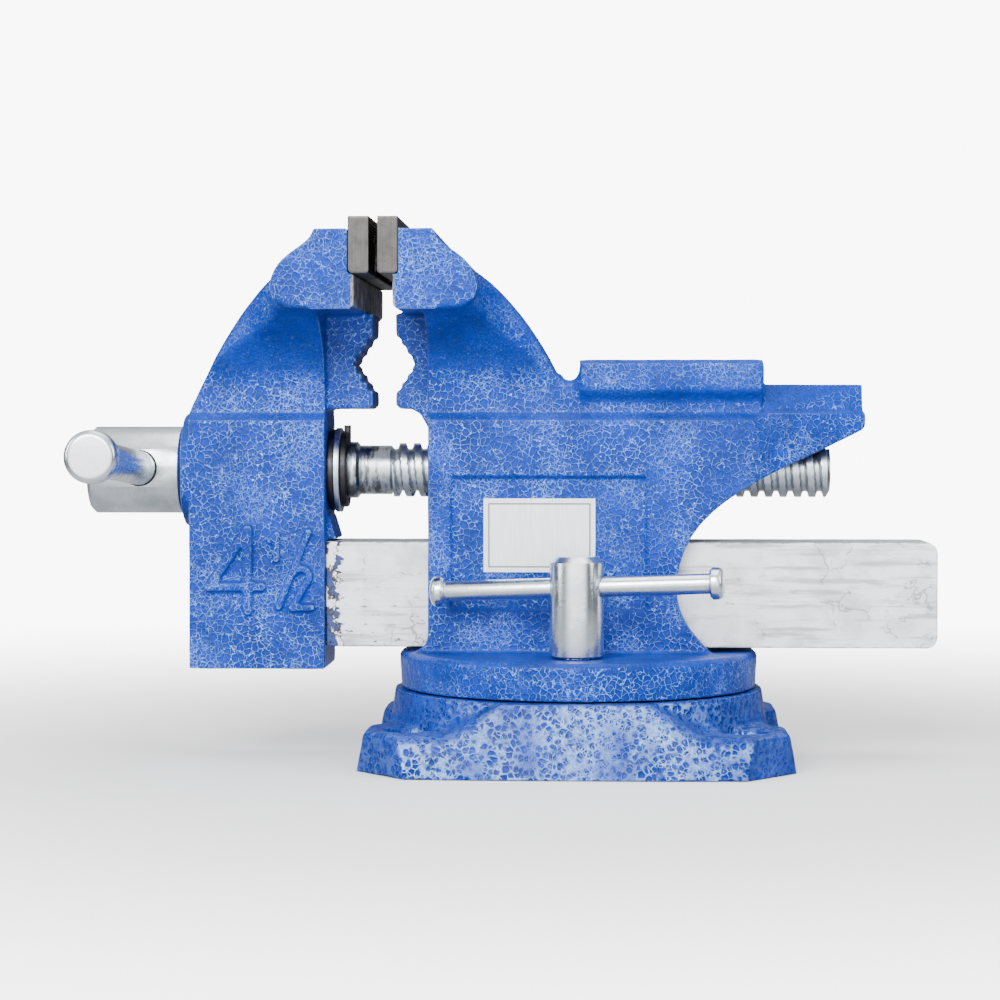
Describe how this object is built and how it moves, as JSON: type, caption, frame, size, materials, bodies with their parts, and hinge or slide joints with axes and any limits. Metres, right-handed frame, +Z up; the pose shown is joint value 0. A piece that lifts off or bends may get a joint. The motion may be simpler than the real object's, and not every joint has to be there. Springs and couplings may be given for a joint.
{
  "type": "bench vise",
  "caption": "Swivel-base bench vise with serrated jaw plates, toothed pipe jaws, anvil with horn, slide bar, lead screw with sliding handle, and a swivel lock nut.",
  "frame": {"origin": "on the swivel axis, at bench level (the base's underside)", "axes": "+X runs from the handle towards the anvil horn, +Z is up from the bench, -Y is the side with the swivel lock nut"},
  "size_m": [0.2985, 0.1772, 0.187],
  "materials": {
    "blue_paint": "glossy hammered paint with pale crackle veins on cast iron",
    "zinc": "bright zinc plating",
    "jaw_steel": "ground steel, faces cut with pyramid teeth",
    "bar_paint": "silver paint over a rough cast bar, scraped and pitted",
    "black_oxide": "black oxide with an oily sheen",
    "nut_iron": "machined cast iron",
    "foil": "silver foil label with a plain printed border"
  },
  "bodies": {
    "base": {"swivel_base": "blue_paint"},
    "swivel": {"vise_body": "blue_paint", "rear_jaw_plate": "jaw_steel", "rear_jaw_screws": "black_oxide", "spindle_nut": "nut_iron", "nut_set_screw": "black_oxide", "label_plate": "foil", "pivot_bolt": "zinc", "pivot_washer": "zinc", "lock_bolt": "zinc", "lock_washer": "zinc"},
    "sliding_jaw": {"front_jaw": "blue_paint", "front_jaw_plate": "jaw_steel", "front_jaw_screws": "black_oxide", "slide_bar": "bar_paint", "slide_bar_pins": "zinc"},
    "screw": {"lead_screw": "zinc", "spacer_ring": "black_oxide", "thrust_washer": "zinc", "retaining_ring": "black_oxide"},
    "handle": {"handle_bar": "zinc", "handle_knob_near": "zinc", "handle_knob_far": "zinc"},
    "nut": {"lock_nut": "zinc"},
    "nut_bar": {"lock_bar": "zinc", "lock_bar_knob_left": "zinc", "lock_bar_knob_right": "zinc"}
  },
  "joints": [
    {"name": "base_swivel", "type": "hinge", "parent": "base", "child": "swivel", "pos_m": [0, 0, 0.025], "axis": [0, 0, 1], "range_deg": [-120, 120]},
    {"name": "jaw_slide", "type": "slide", "parent": "swivel", "child": "sliding_jaw", "axis": [-1, 0, 0], "range_m": [-0.0024, 0.1]},
    {"name": "screw_turn", "type": "hinge", "parent": "sliding_jaw", "child": "screw", "pos_m": [-0.13975, 0, 0.1013], "axis": [1, 0, 0], "range_deg": [-7080, 170]},
    {"name": "handle_slide", "type": "slide", "parent": "screw", "child": "handle", "axis": [0, 0.9984, -0.0558], "range_m": [-0.038, 0.081]},
    {"name": "lock_nut_turn", "type": "hinge", "parent": "swivel", "child": "nut", "pos_m": [0, -0.041, 0.038], "axis": [0, 0, 1], "range_deg": [-2, 22]},
    {"name": "lock_bar_slide", "type": "slide", "parent": "nut", "child": "nut_bar", "axis": [0.9869, -0.1563, 0.0401], "range_m": [-0.036, 0.036]}
  ],
  "couplings": [
    {"joint": "jaw_slide", "follows": "screw_turn", "m_per_rad": -0.00080851}
  ]
}
